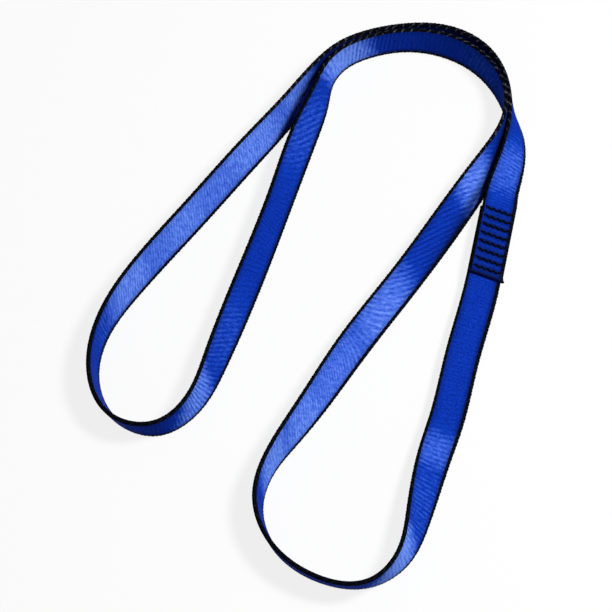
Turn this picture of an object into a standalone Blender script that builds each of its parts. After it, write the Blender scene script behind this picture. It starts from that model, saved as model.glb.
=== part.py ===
# An endless sewn sling for climbing. One length of flat webbing runs once round, its two ends
# are lapped, and a ladder of bar tacks sews them together. The sling lies on a flat surface in a
# horseshoe: two strands side by side over the arch, and a long open loop hanging from each end.

import math

import bmesh
import bpy
import numpy as np
from mathutils import Matrix, Vector

# Webbing, in metres
SLING_ROUND = 1.200  # once round the sling, along the middle of the webbing
WEBBING_WIDTH = 0.016
WEBBING_THICKNESS = 0.0020
SELVEDGE_WIDTH = 0.0011  # the rounded black border along each edge
PLY_GAP = 0.0003  # between two plies, or two strands, that lie together
STEP_LENGTH = 0.012  # the upper ply comes down past the end of the lower one in this length
STEP_REST = 0.0012  # how far the upper ply runs on level before it comes down

# Cut ends, sealed by heat
SEAL_LENGTH = 0.0007
SEAL_LIP = 0.00035  # how far the melted rim stands out past each edge
SEAL_SWELL = 0.00008  # how far it stands out from each face
SEAL_ROUNDING = 0.00025

# Bar tacks
TACKS = 8
TACK_PITCH = 0.0044
TACK_BORDER = 0.0026  # from each edge of the webbing to the tack
TACK_ZIGZAG = 0.0007  # along the webbing, between the two lines of needle holes
UPPER_MARGIN = 0.0031  # from the last tack to the cut end of the upper ply
LOWER_MARGIN = 0.0017  # from the first tack to the cut end of the lower ply
THREAD_DIAMETER = 0.00028
THREAD_CLEARANCE = 0.00005
THREAD_TAIL = 0.0009
HOLE_WALL = 0.00012  # the least webbing between two needle holes of a tack
CUT_OVERRUN = 0.0005

# Fineness of the solids
LONGEST_STEP = 0.020  # along a straight stretch
STEP_TURN_ANGLE = math.radians(10.0)
EDGE_STEPS = 4
HOLE_SIDES = 4
THREAD_BEVEL_STEPS = 1
ROUTE_SAMPLES = 2400

# The route on the ground, in metres. A lean is in degrees from upright, and is positive where
# the upper edge leans towards the outside of the ring. The joint lies straight, so its middle,
# heading and lean are enough.
JOINT_PLACE = (0.0652, 0.0405)
JOINT_HEADING = 98.2
JOINT_LEAN = -72.0

# From the joint up to the arch: x, y, lean
RISE_ROUTE = [
    (0.0616, 0.0700, -62),
    (0.0607, 0.0851, -48),
    (0.0577, 0.0996, -29),
]

# The inner strand over the arch, from right to left: x, y, its lean, the outer strand's lean
ARCH_ROUTE = [
    (0.0502, 0.1085, 4, -10),
    (0.0409, 0.1222, -8, 8),
    (0.0279, 0.1303, -10, 12),
    (0.0120, 0.1331, -9, 9),
    (-0.0049, 0.1295, -5, 4),
    (-0.0188, 0.1211, -5, 4),
    (-0.0284, 0.1106, -8, 9),
    (-0.0321, 0.0987, -15, 16),
]

# Extra room between the two strands at each of those places, to the webbing's thickness
ARCH_ROOM_SHARES = [0.0, 0.1, 0.7, 0.9, 0.3, 0.2, 0.2, 0.8]

# Round the left loop, from the outer strand back to the inner one: x, y, lean
LEFT_LOOP_ROUTE = [
    (-0.0417, 0.0786, 26),
    (-0.0512, 0.0480, 34),
    (-0.0633, 0.0075, 33),
    (-0.0753, -0.0340, 26),
    (-0.0787, -0.0600, 14),
    (-0.0724, -0.0846, 13),
    (-0.0561, -0.0987, 17),
    (-0.0392, -0.0969, 6),
    (-0.0294, -0.0824, -12),
    (-0.0274, -0.0580, -31),
    (-0.0281, -0.0200, -41),
    (-0.0297, 0.0300, -39),
    (-0.0315, 0.0700, -40),
    (-0.0316, 0.0870, -26),
]

# Round the right loop, from the inner strand to the joint: x, y, lean
RIGHT_LOOP_ROUTE = [
    (0.0533, 0.0951, 21),
    (0.0504, 0.0729, 42),
    (0.0448, 0.0480, 52),
    (0.0355, 0.0082, 49),
    (0.0252, -0.0310, 49),
    (0.0185, -0.0640, 35),
    (0.0147, -0.0805, 24),
    (0.0121, -0.0930, 15),
    (0.0134, -0.1140, 11),
    (0.0260, -0.1306, 13),
    (0.0480, -0.1382, 17),
    (0.0689, -0.1331, 13),
    (0.0780, -0.1172, -13),
    (0.0781, -0.0980, -36),
    (0.0752, -0.0660, -61),
    (0.0746, -0.0495, -66),
    (0.0713, -0.0180, -68),
]


def joint_length():
    return (TACKS - 1) * TACK_PITCH + UPPER_MARGIN + LOWER_MARGIN


def ply_rise():
    # Between the middles of two plies, or two strands, that lie together
    return WEBBING_THICKNESS + PLY_GAP


def ease(t):
    # A smooth rise from 0 to 1
    t = np.clip(t, 0.0, 1.0)
    return t * t * (3.0 - 2.0 * t)


def unit(vectors):
    return vectors / np.linalg.norm(vectors, axis=1)[:, None]


def run_along(places):
    steps = np.linalg.norm(np.diff(places, axis=0), axis=1)
    return np.concatenate(((0.0,), np.cumsum(steps)))


def clear_scene():
    for item in list(bpy.data.objects):
        bpy.data.objects.remove(item, do_unlink=True)


def make_material(name, colour, roughness):
    material = bpy.data.materials.new(name)
    material.use_nodes = True
    shader = material.node_tree.nodes["Principled BSDF"]
    shader.inputs["Base Color"].default_value = (*colour, 1.0)
    shader.inputs["Roughness"].default_value = roughness
    shader.inputs["Metallic"].default_value = 0.0
    material.diffuse_color = (*colour, 1.0)
    return material


# The route on the ground

def joint_heading():
    angle = math.radians(JOINT_HEADING)
    return np.array((math.cos(angle), math.sin(angle)))


def arch_strands(scale):
    # The outer strand lies against the inner one, as close as their leans let them
    places = np.array([row[:2] for row in ARCH_ROUTE]) * scale
    outer = []
    inner = []
    for i, ahead in enumerate(unit(np.gradient(places, axis=0))):
        inner_lean, outer_lean = ARCH_ROUTE[i][2:]
        parting = math.radians(outer_lean - inner_lean) / 2
        tilt = math.radians(outer_lean + inner_lean)
        apart = ply_rise() / math.cos(parting)
        apart += WEBBING_WIDTH / 2 * abs(math.sin(tilt))
        apart += WEBBING_THICKNESS * ARCH_ROOM_SHARES[i]
        beside = places[i] + np.array((ahead[1], -ahead[0])) * apart
        outer.append((*beside, outer_lean))
        inner.append((*places[i], inner_lean))
    return outer, inner


def scaled(route, scale):
    return [(x * scale, y * scale, lean) for x, y, lean in route]


def laid_route(scale):
    # The stations in order round the ring, from the joint's arch end to its loop end
    middle = np.array(JOINT_PLACE) * scale
    reach = joint_heading() * joint_length() / 2
    outer, inner = arch_strands(scale)
    stations = [(*(middle + reach), JOINT_LEAN)]
    stations += scaled(RISE_ROUTE, scale)
    stations += outer
    stations += scaled(LEFT_LOOP_ROUTE, scale)
    stations += reversed(inner)
    stations += scaled(RIGHT_LOOP_ROUTE, scale)
    stations.append((*(middle - reach), JOINT_LEAN))
    return np.array(stations)


def smooth_route(stations):
    # A cubic spline over the chord lengths, in line with the joint at both ends
    knots = run_along(stations[:, :2])
    chords = np.diff(knots)
    count = len(stations)
    system = np.eye(count)
    slopes = np.zeros_like(stations)
    slopes[0] = slopes[-1] = (*joint_heading(), 0.0)
    for i in range(1, count - 1):
        before, after = chords[i - 1], chords[i]
        system[i, i - 1:i + 2] = (after, 2 * (before + after), before)
        slopes[i] = 3 * after * (stations[i] - stations[i - 1]) / before
        slopes[i] += 3 * before * (stations[i + 1] - stations[i]) / after
    slopes = np.linalg.solve(system, slopes)
    at = np.linspace(0.0, knots[-1], ROUTE_SAMPLES)
    span = np.minimum(np.searchsorted(knots, at, side="right") - 1, count - 2)
    chord = chords[span][:, None]
    t = (at - knots[span])[:, None] / chord
    smooth = (2 * t**3 - 3 * t**2 + 1) * stations[span]
    smooth += (t**3 - 2 * t**2 + t) * chord * slopes[span]
    smooth += (3 * t**2 - 2 * t**3) * stations[span + 1]
    smooth += (t**3 - t**2) * chord * slopes[span + 1]
    return smooth


def ring_route():
    # The places are spread or drawn in until the ring is exactly SLING_ROUND long
    scale = 1.0
    for _ in range(6):
        length = run_along(smooth_route(laid_route(scale))[:, :2])[-1]
        scale *= (SLING_ROUND - joint_length()) / length
    return smooth_route(laid_route(scale))


# The webbing in space

def section_reach(across, outer_face, wider=0.0, thicker=0.0):
    # How far a section reaches from its middle along x, y and z
    body = (WEBBING_WIDTH / 2 - SELVEDGE_WIDTH) * np.abs(across)
    edge_width = (SELVEDGE_WIDTH + wider) * across
    edge_thickness = (WEBBING_THICKNESS / 2 + thicker) * outer_face
    return body + np.hypot(edge_width, edge_thickness)


def standing_height(route, across, outer_face):
    # The webbing stands on its lower edge, a little higher at the joint, on the seal's rim
    plain = section_reach(across, outer_face)[:, 2]
    sealed = section_reach(across, outer_face, SEAL_LIP, SEAL_SWELL)[:, 2]
    run = run_along(route[:, :2])
    from_joint = np.minimum(run, run[-1] - run)
    return plain + (sealed - plain) * (1.0 - ease(from_joint / STEP_LENGTH))


def frames_along(route):
    # Each sample's middle, and its directions along, across to the upper edge, and out of the
    # outer face
    lean = np.radians(route[:, 2])[:, None]
    ahead = unit(np.gradient(route[:, :2], axis=0))
    ahead[0] = ahead[-1] = joint_heading()
    level = np.zeros(len(route))
    outward = np.stack((ahead[:, 1], -ahead[:, 0], level), axis=1)
    upward = np.array((0.0, 0.0, 1.0))
    across = np.cos(lean) * upward + np.sin(lean) * outward
    outer_face = np.cos(lean) * outward - np.sin(lean) * upward
    middle = np.column_stack((route[:, :2], standing_height(route, across, outer_face)))
    along = unit(np.gradient(middle, axis=0))
    along[0] = along[-1] = (*joint_heading(), 0.0)
    across = unit(across - np.sum(across * along, axis=1)[:, None] * along)
    outer_face = np.cross(along, across)
    return centred(middle, across, outer_face), along, across, outer_face


def centred(middle, across, outer_face):
    # The origin is on the ground, in the middle of the box that the sling fills
    reach = section_reach(across, outer_face)
    shift = ((middle - reach).min(axis=0) + (middle + reach).max(axis=0)) / 2
    shift[2] = 0.0
    return middle - shift


def lift_upper_ply(middle, outer_face):
    # Past the joint the upper ply comes down from the lower one in a smooth step
    step = (run_along(middle) - STEP_REST) / STEP_LENGTH
    lift = ply_rise() * (1.0 - ease(step))
    return middle + outer_face * lift[:, None]


def angle_between(vectors):
    # From each vector to the next
    cosines = np.sum(vectors[1:] * vectors[:-1], axis=1)
    return np.arccos(np.clip(cosines, -1.0, 1.0))


def chosen_samples(middle, across):
    # A section wherever the webbing has run, turned or twisted far enough since the last one
    steps = np.diff(middle, axis=0)
    spent = np.linalg.norm(steps, axis=1) / LONGEST_STEP
    spent += angle_between(across) / STEP_TURN_ANGLE
    spent[1:] += angle_between(unit(steps)) / STEP_TURN_ANGLE
    spent = np.concatenate(((0.0,), np.cumsum(spent)))
    goals = np.linspace(0.0, spent[-1], math.ceil(spent[-1]) + 1)
    return np.searchsorted(spent, goals)


def section_outline(wider, thicker):
    # A flat body between two half-elliptic edges, from the outer face round to it again
    flat = WEBBING_WIDTH / 2 - SELVEDGE_WIDTH
    outline = []
    for side in (1, -1):
        for i in range(EDGE_STEPS + 1):
            angle = math.pi * (0.5 - i / EDGE_STEPS)
            v = flat + (SELVEDGE_WIDTH + wider) * math.cos(angle)
            n = (WEBBING_THICKNESS / 2 + thicker) * math.sin(angle)
            outline.append((v * side, n * side))
    return outline


def seal_profile():
    # The sealed end, from the cut face inwards: distance, wider, thicker
    return [
        (0.0, -SEAL_ROUNDING, -SEAL_ROUNDING),
        (SEAL_ROUNDING, SEAL_LIP, SEAL_SWELL),
        (SEAL_LENGTH - SEAL_ROUNDING, SEAL_LIP, SEAL_SWELL),
        (SEAL_LENGTH, 0.0, 0.0),
    ]


def webbing_sections(middle, along, across, outer_face):
    # Every section of the webbing, from the upper ply's cut end round to the lower ply's
    lifted = lift_upper_ply(middle, outer_face)
    sections = []
    for distance, wider, thicker in seal_profile():
        place = lifted[0] - along[0] * (joint_length() - distance)
        sections.append((place, across[0], outer_face[0], wider, thicker))
    for i in chosen_samples(lifted, across):
        sections.append((lifted[i], across[i], outer_face[i], 0.0, 0.0))
    for distance, wider, thicker in reversed(seal_profile()):
        place = middle[-1] + along[-1] * (joint_length() - distance)
        sections.append((place, across[-1], outer_face[-1], wider, thicker))
    return sections


def make_webbing(sections, face_material, edge_material):
    mesh = bmesh.new()
    rings = []
    for place, across, outer_face, wider, thicker in sections:
        outline = section_outline(wider, thicker)
        rings.append([mesh.verts.new(place + across * v + outer_face * n) for v, n in outline])
    size = len(rings[0])
    body_sides = (EDGE_STEPS, size - 1)
    for ring, following in zip(rings, rings[1:]):
        for i in range(size):
            j = (i + 1) % size
            face = mesh.faces.new((ring[i], ring[j], following[j], following[i]))
            face.material_index = 0 if i in body_sides else 1
    for end in (rings[0], rings[-1]):
        mesh.faces.new(end).material_index = 1
    bmesh.ops.recalc_face_normals(mesh, faces=mesh.faces)
    data = bpy.data.meshes.new("webbing_tape")
    mesh.to_mesh(data)
    mesh.free()
    data.materials.append(face_material)
    data.materials.append(edge_material)
    data.shade_smooth()
    data.set_sharp_from_angle(angle=math.radians(50))
    return place_object("webbing_tape", data)


def place_object(name, data):
    item = bpy.data.objects.new(name, data)
    bpy.context.collection.objects.link(item)
    return item


# The bar tacks, in the joint's own directions: u along the webbing towards the arch, v across
# it to the upper edge, and n out of the outer face, all from the middle of the lower ply

def thread_radius():
    return THREAD_DIAMETER / 2


def leg_offset():
    # The two legs of a thread in a needle hole pass either side of the other thread
    return THREAD_DIAMETER + THREAD_CLEARANCE


def hole_radius():
    # Each corner of the diamond-shaped hole takes one leg of a thread
    return leg_offset() + (thread_radius() + THREAD_CLEARANCE) / math.cos(math.pi / HOLE_SIDES)


def tack_places():
    first = joint_length() / 2 - LOWER_MARGIN
    return [first - i * TACK_PITCH for i in range(TACKS)]


def needle_holes(tack_u):
    # The holes of one tack, alternately on one side and the other of its line
    length = WEBBING_WIDTH - 2 * TACK_BORDER
    stitches = int(length / (2 * hole_radius() + HOLE_WALL))
    holes = []
    for i in range(stitches + 1):
        side = 1 if i % 2 == 0 else -1
        holes.append((tack_u + side * TACK_ZIGZAG / 2, length * (i / stitches - 0.5)))
    return holes


def make_hole_cutter(joint_frame):
    mesh = bmesh.new()
    bottom = -WEBBING_THICKNESS / 2 - CUT_OVERRUN
    top = ply_rise() + WEBBING_THICKNESS / 2 + CUT_OVERRUN
    for tack_u in tack_places():
        for u, v in needle_holes(tack_u):
            place = Matrix.Translation((u, v, (bottom + top) / 2))
            bmesh.ops.create_cone(
                mesh,
                cap_ends=True,
                segments=HOLE_SIDES,
                radius1=hole_radius(),
                radius2=hole_radius(),
                depth=top - bottom,
                matrix=joint_frame @ place,
            )
    data = bpy.data.meshes.new("needle_hole_cutter")
    mesh.to_mesh(data)
    mesh.free()
    cutter = place_object("needle_hole_cutter", data)
    cutter.hide_render = True
    cutter.display_type = "WIRE"
    return cutter


def cut_needle_holes(webbing, cutter):
    cut = webbing.modifiers.new("needle_holes", "BOOLEAN")
    cut.operation = "DIFFERENCE"
    cut.solver = "EXACT"
    cut.object = cutter


def needle_thread_path(tack_u):
    # Over the upper ply from hole to hole, and in each hole down, under the bobbin thread and up
    surface = ply_rise() + WEBBING_THICKNESS / 2 + thread_radius() + THREAD_CLEARANCE
    lock = ply_rise() / 2 - leg_offset() / 2
    leg = leg_offset()
    points = []
    for u, v in needle_holes(tack_u):
        points.append((u, v - leg, surface))
        points.append((u, v - leg, lock))
        points.append((u, v + leg, lock))
        points.append((u, v + leg, surface))
    return with_tails(points)


def bobbin_thread_path(tack_u):
    # Under the lower ply from hole to hole, and in each hole up, over the needle thread and down
    surface = -WEBBING_THICKNESS / 2 - thread_radius() - THREAD_CLEARANCE
    lock = ply_rise() / 2 + leg_offset() / 2
    leg = leg_offset()
    points = []
    for u, v in needle_holes(tack_u):
        points.append((u - leg, v, surface))
        points.append((u - leg, v, lock))
        points.append((u + leg, v, lock))
        points.append((u + leg, v, surface))
    return with_tails(points)


def with_tails(points):
    # The trimmed ends lie on the webbing, past the first hole and the last
    first_u, first_v, surface = points[0]
    last_u, last_v, surface = points[-1]
    first_end = (first_u, first_v - THREAD_TAIL, surface)
    last_end = (last_u, last_v + THREAD_TAIL, surface)
    return [first_end, *points, last_end]


def make_thread(name, points, joint_frame, material):
    curve = bpy.data.curves.new(name, "CURVE")
    curve.dimensions = "3D"
    curve.bevel_depth = thread_radius()
    curve.bevel_resolution = THREAD_BEVEL_STEPS
    curve.use_fill_caps = True
    spline = curve.splines.new("POLY")
    spline.points.add(len(points) - 1)
    for point, place in zip(spline.points, points):
        point.co = (*place, 1.0)
    spline.use_smooth = True
    curve.materials.append(material)
    thread = place_object(name, curve)
    thread.matrix_world = joint_frame
    return thread


def joint_matrix(middle, along, across, outer_face):
    # From the arch end of the lower ply back to the middle of the joint
    place = Vector(middle[0] - along[0] * joint_length() / 2)
    turn = Matrix((along[0], across[0], outer_face[0])).transposed()
    return Matrix.Translation(place) @ turn.to_4x4()


def main():
    clear_scene()
    blue = make_material("blue_webbing", (0.006, 0.045, 0.50), 0.55)
    black = make_material("black_selvedge", (0.004, 0.005, 0.009), 0.60)
    thread_black = make_material("black_thread", (0.003, 0.004, 0.008), 0.50)
    frames = frames_along(ring_route())
    joint_frame = joint_matrix(*frames)
    webbing = make_webbing(webbing_sections(*frames), blue, black)
    cut_needle_holes(webbing, make_hole_cutter(joint_frame))
    for i, tack_u in enumerate(tack_places(), start=1):
        needle_path = needle_thread_path(tack_u)
        bobbin_path = bobbin_thread_path(tack_u)
        make_thread(f"needle_thread_{i}", needle_path, joint_frame, thread_black)
        make_thread(f"bobbin_thread_{i}", bobbin_path, joint_frame, thread_black)


main()
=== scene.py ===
# A sewn climbing sling: one length of blue webbing with black selvedges, laid out in a horseshoe
# on a pale floor, its two ends lapped and joined by a ladder of black bar tacks.

import math

import bpy
import numpy as np
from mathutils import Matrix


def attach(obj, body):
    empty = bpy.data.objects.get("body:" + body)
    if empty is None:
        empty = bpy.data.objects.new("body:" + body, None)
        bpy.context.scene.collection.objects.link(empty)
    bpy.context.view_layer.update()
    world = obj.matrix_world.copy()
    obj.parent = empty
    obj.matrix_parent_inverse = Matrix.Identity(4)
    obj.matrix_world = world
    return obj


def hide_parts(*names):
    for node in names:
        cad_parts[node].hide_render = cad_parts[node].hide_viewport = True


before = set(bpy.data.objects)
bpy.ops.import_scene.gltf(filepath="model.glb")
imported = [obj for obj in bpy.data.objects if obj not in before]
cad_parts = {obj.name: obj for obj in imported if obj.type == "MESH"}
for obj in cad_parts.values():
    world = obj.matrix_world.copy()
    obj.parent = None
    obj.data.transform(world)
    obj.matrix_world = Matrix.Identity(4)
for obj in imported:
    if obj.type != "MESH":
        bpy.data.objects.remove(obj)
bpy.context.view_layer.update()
print("sling frame loaded")


# The webbing's route

tape = {
    "width": 0.016,
    "thickness": 0.0020,
    "roundedEdge": 0.0011,  # how deep the rounding of each edge is
    "plyGap": 0.0003,
    "jointLength": 0.0356,  # the two ends lap by this much
    "jointHeading": 98.2,  # degrees from +x
    "stepLength": 0.012,  # the upper ply comes down past the lower one's end in this length
    "stepRest": 0.0012,  # after running on level this far
    "sealLip": 0.00035,  # the room under the joint for the melted rim past the edge
    "sealSwell": 0.00008,  # and out of the face
    "routeSamples": 2400,
    "cordSamples": 620,
}

# x, y in metres and the lean in degrees from upright, positive where the upper edge leans
# outwards; from the joint's arch end, round both loops, to its loop end
tapeRoute = [
    (0.06188, 0.05913, -72.0),
    (0.06082, 0.07104, -62.0),
    (0.05992, 0.08616, -48.0),
    (0.05691, 0.10068, -29.0),
    (0.05201, 0.11136, -10.0),
    (0.04186, 0.12511, 8.0),
    (0.02850, 0.13518, 12.0),
    (0.01106, 0.13834, 9.0),
    (-0.00686, 0.13345, 4.0),
    (-0.02146, 0.12442, 4.0),
    (-0.03175, 0.11315, 9.0),
    (-0.03693, 0.10100, 16.0),
    (-0.04260, 0.07965, 26.0),
    (-0.05211, 0.04902, 34.0),
    (-0.06422, 0.00847, 33.0),
    (-0.07624, -0.03307, 26.0),
    (-0.07964, -0.05910, 14.0),
    (-0.07334, -0.08373, 13.0),
    (-0.05702, -0.09785, 17.0),
    (-0.04010, -0.09605, 6.0),
    (-0.03029, -0.08153, -12.0),
    (-0.02828, -0.05710, -31.0),
    (-0.02898, -0.01906, -41.0),
    (-0.03059, 0.03100, -39.0),
    (-0.03239, 0.07104, -40.0),
    (-0.03249, 0.08806, -26.0),
    (-0.03299, 0.09978, -15.0),
    (-0.02929, 0.11169, -8.0),
    (-0.01967, 0.12220, -5.0),
    (-0.00576, 0.13061, -5.0),
    (0.01116, 0.13422, -9.0),
    (0.02708, 0.13141, -10.0),
    (0.04009, 0.12330, -8.0),
    (0.04940, 0.10959, 4.0),
    (0.05251, 0.09617, 21.0),
    (0.04960, 0.07395, 42.0),
    (0.04400, 0.04902, 52.0),
    (0.03469, 0.00917, 49.0),
    (0.02438, -0.03007, 49.0),
    (0.01767, -0.06311, 35.0),
    (0.01386, -0.07963, 24.0),
    (0.01126, -0.09214, 15.0),
    (0.01256, -0.11317, 11.0),
    (0.02518, -0.12978, 13.0),
    (0.04720, -0.13739, 17.0),
    (0.06813, -0.13229, 13.0),
    (0.07724, -0.11637, -13.0),
    (0.07734, -0.09715, -36.0),
    (0.07443, -0.06511, -61.0),
    (0.07383, -0.04859, -66.0),
    (0.07053, -0.01706, -68.0),
    (0.06696, 0.02389, -72.0),
]


def ease(t):
    t = np.clip(t, 0.0, 1.0)
    return t * t * (3.0 - 2.0 * t)


def unit(vectors):
    return vectors / np.linalg.norm(vectors, axis=-1, keepdims=True)


def runAlong(places):
    steps = np.linalg.norm(np.diff(places, axis=0), axis=1)
    return np.concatenate(((0.0,), np.cumsum(steps)))


def headingOfJoint():
    angle = math.radians(tape["jointHeading"])
    return np.array((math.cos(angle), math.sin(angle)))


def smoothRoute(stations):
    # a cubic spline over the chord lengths, in line with the joint at both ends
    knots = runAlong(stations[:, :2])
    chords = np.diff(knots)
    count = len(stations)
    system = np.eye(count)
    slopes = np.zeros_like(stations)
    slopes[0] = slopes[-1] = (*headingOfJoint(), 0.0)
    for i in range(1, count - 1):
        before, after = chords[i - 1], chords[i]
        system[i, i - 1:i + 2] = (after, 2 * (before + after), before)
        slopes[i] = 3 * after * (stations[i] - stations[i - 1]) / before
        slopes[i] += 3 * before * (stations[i + 1] - stations[i]) / after
    slopes = np.linalg.solve(system, slopes)
    at = np.linspace(0.0, knots[-1], tape["routeSamples"])
    span = np.minimum(np.searchsorted(knots, at, side="right") - 1, count - 2)
    chord = chords[span][:, None]
    t = (at - knots[span])[:, None] / chord
    smooth = (2 * t**3 - 3 * t**2 + 1) * stations[span]
    smooth += (t**3 - 2 * t**2 + t) * chord * slopes[span]
    smooth += (3 * t**2 - 2 * t**3) * stations[span + 1]
    smooth += (t**3 - t**2) * chord * slopes[span + 1]
    return smooth


def standingHeight(route, across, outer):
    # the lower edge stands on the floor, a little higher at the joint, on the melted rim
    body = (tape["width"] / 2 - tape["roundedEdge"]) * np.abs(across[:, 2])
    half = tape["thickness"] / 2
    plain = body + np.hypot(tape["roundedEdge"] * across[:, 2], half * outer[:, 2])
    lip = (tape["roundedEdge"] + tape["sealLip"]) * across[:, 2]
    sealed = body + np.hypot(lip, (half + tape["sealSwell"]) * outer[:, 2])
    run = runAlong(route[:, :2])
    fromJoint = np.minimum(run, run[-1] - run)
    return plain + (sealed - plain) * (1.0 - ease(fromJoint / tape["stepLength"]))


def layTape():
    # the middle of the webbing and its directions, from one cut end to the other
    route = smoothRoute(np.array(tapeRoute))
    lean = np.radians(route[:, 2])[:, None]
    ahead = unit(np.gradient(route[:, :2], axis=0))
    ahead[0] = ahead[-1] = headingOfJoint()
    level = np.zeros(len(route))
    outward = np.stack((ahead[:, 1], -ahead[:, 0], level), axis=1)
    upward = np.array((0.0, 0.0, 1.0))
    across = np.cos(lean) * upward + np.sin(lean) * outward
    outer = np.cos(lean) * outward - np.sin(lean) * upward
    middle = np.column_stack((route[:, :2], standingHeight(route, across, outer)))
    along = unit(np.gradient(middle, axis=0))
    along[0] = along[-1] = (*headingOfJoint(), 0.0)
    across = unit(across - np.sum(across * along, axis=1)[:, None] * along)
    outer = np.cross(along, across)
    step = (runAlong(middle) - tape["stepRest"]) / tape["stepLength"]
    lift = (tape["thickness"] + tape["plyGap"]) * (1.0 - ease(step))
    lifted = middle + outer * lift[:, None]
    upperEnd = lifted[0] - along[0] * tape["jointLength"]
    lowerEnd = lifted[-1] + along[-1] * tape["jointLength"]
    places = np.vstack((upperEnd, lifted, lowerEnd))
    along, across, outer = (np.vstack((a[:1], a, a[-1:])) for a in (along, across, outer))
    return {
        "run": runAlong(places),
        "place": places,
        "along": along,
        "across": across,
        "outer": outer,
        "jointMiddle": middle[0] - along[0] * tape["jointLength"] / 2,
    }


laid = layTape()
tapeLength = float(laid["run"][-1])
print(f"webbing laid: {tapeLength:.3f} m from cut end to cut end")


# Below, a run is a distance along the webbing from the upper ply's cut end, v a place across it
# from its middle, positive towards the upper edge, and out is 1 on the outer face and -1 on the
# inner one.

def readLaid(name, runs):
    # one of the laid webbing's arrays at any runs
    columns = [np.interp(runs, laid["run"], laid[name][:, axis]) for axis in range(3)]
    return np.stack(columns, axis=-1)


def readTable(table, runs):
    # the columns of a table, whose first one is the run, at any runs
    places, *columns = zip(*table)
    return [np.interp(runs, places, column) for column in columns]


def rise(x, startAndReach):
    # 0 up to a start, and 1 from a reach further on
    start, reach = startAndReach
    return ease((x - start) / reach)


def within(x, stretch):
    # 1 inside a stretch, fading to 0 before and after it
    start, end, fadeIn, fadeOut = stretch
    return (1.0 - ease((start - x) / fadeIn)) * (1.0 - ease((x - end) / fadeOut))


wanderWaves = ((1.0, 1.0, 1.0), (0.7, 1.618, 2.3), (0.5, 2.414, 3.7))  # strength, rate, phase


def wander(x, pitch, phase):
    # a smooth uneven line between -1 and 1, the same every time; the phase only keeps two lines
    # from running alike
    x = np.asarray(x) * (2 * math.pi / pitch)
    line = sum(strength * np.sin(x * rate + phase * shift) for strength, rate, shift in wanderWaves)
    return line / sum(wave[0] for wave in wanderWaves)


# Bar tacks

tacks = {
    "count": 8,
    "pitch": 0.0044,
    "firstFromEnd": 0.0017,  # from the lower ply's cut end
    "border": 0.0026,
    "zigzag": 0.0009,
    "stitches": 8,
    "sink": 0.00020,  # how deep each tack draws the webbing in
    "sinkReach": 0.00095,
    "sinkFade": 0.0010,  # beyond the tack's ends
    "dimple": 0.00028,  # how much deeper at each needle hole
    "dimpleReach": 0.00042,
}


def tackPlaces():
    # along the joint from its middle
    first = tape["jointLength"] / 2 - tacks["firstFromEnd"]
    return [first - i * tacks["pitch"] for i in range(tacks["count"])]


def needleHoles(tackU):
    # alternately on one side and the other of the tack's line
    reach = tape["width"] - 2 * tacks["border"]
    holes = []
    for i in range(tacks["stitches"] + 1):
        side = 1 if i % 2 == 0 else -1
        across = reach * (i / tacks["stitches"] - 0.5)
        holes.append((tackU + side * tacks["zigzag"] / 2, across))
    return holes


def tackPull(u, v):
    # how far the stitches draw the face in at a place in the joint
    pull = np.zeros(np.broadcast(u, v).shape)
    reach = tape["width"] / 2 - tacks["border"]
    ends = 1.0 - rise(np.abs(v), (reach, tacks["sinkFade"]))
    for tackU in tackPlaces():
        pull += tacks["sink"] * ends * np.exp(-((u - tackU) / tacks["sinkReach"]) ** 2)
        for holeU, holeV in needleHoles(tackU):
            far = ((u - holeU) ** 2 + (v - holeV) ** 2) / tacks["dimpleReach"] ** 2
            pull += tacks["dimple"] * np.exp(-far)
    return pull


# The woven webbing as one closed mesh

weave = {
    "pick": 0.00165,  # from one cross rib to the next
    "ringsPerPick": 4,
    "ribHeight": 0.000011,
    "ribUneven": 0.5,  # the share of its height by which a rib varies
    "ribUnevenPitch": 0.013,
    "jointFlat": (0.35, 0.004),  # the share of the height left in the joint, and the fade past it
    "faceColumns": (-0.0056, -0.00405, -0.002025, 0.0, 0.002025, 0.00405, 0.0056),
    "jointColumnStep": 0.0003375,
    "jointRingStep": 0.00033,
    "edgeAngles": (0.0, 30.0, 56.0),  # from the tip of the edge towards the face
    "leanWander": 0.08,
    "leanPitch": 0.05,
    "leanFade": 0.010,  # the joint's ribs are square
    "bow": 16.0,
    "bowPitch": 0.11,
    "bowRest": 0.00003,  # a bowed rib is in its straight place where v squared is this
    "squeezes": (0.093, 0.7505),  # where two runs lean against each other
    "squeezeReach": 0.014,
    "squeezeDepth": 0.0004,
    "twillSamples": 4000,
}

# how far the ribs lean out of square: run, and distance along over distance across
ribLeans = [
    (0.060, 0.0),
    (0.200, 0.1),
    (0.350, -0.1),
    (0.385, -0.4),
    (0.510, -0.4),
    (0.545, 0.0),
    (0.605, -0.6),
    (0.680, 0.0),
    (0.750, 0.3),
    (0.820, 0.9),
    (0.900, 0.5),
    (0.950, 0.0),
    (1.080, 0.0),
    (1.150, -0.15),
    (1.190, 0.0),
]

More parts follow.
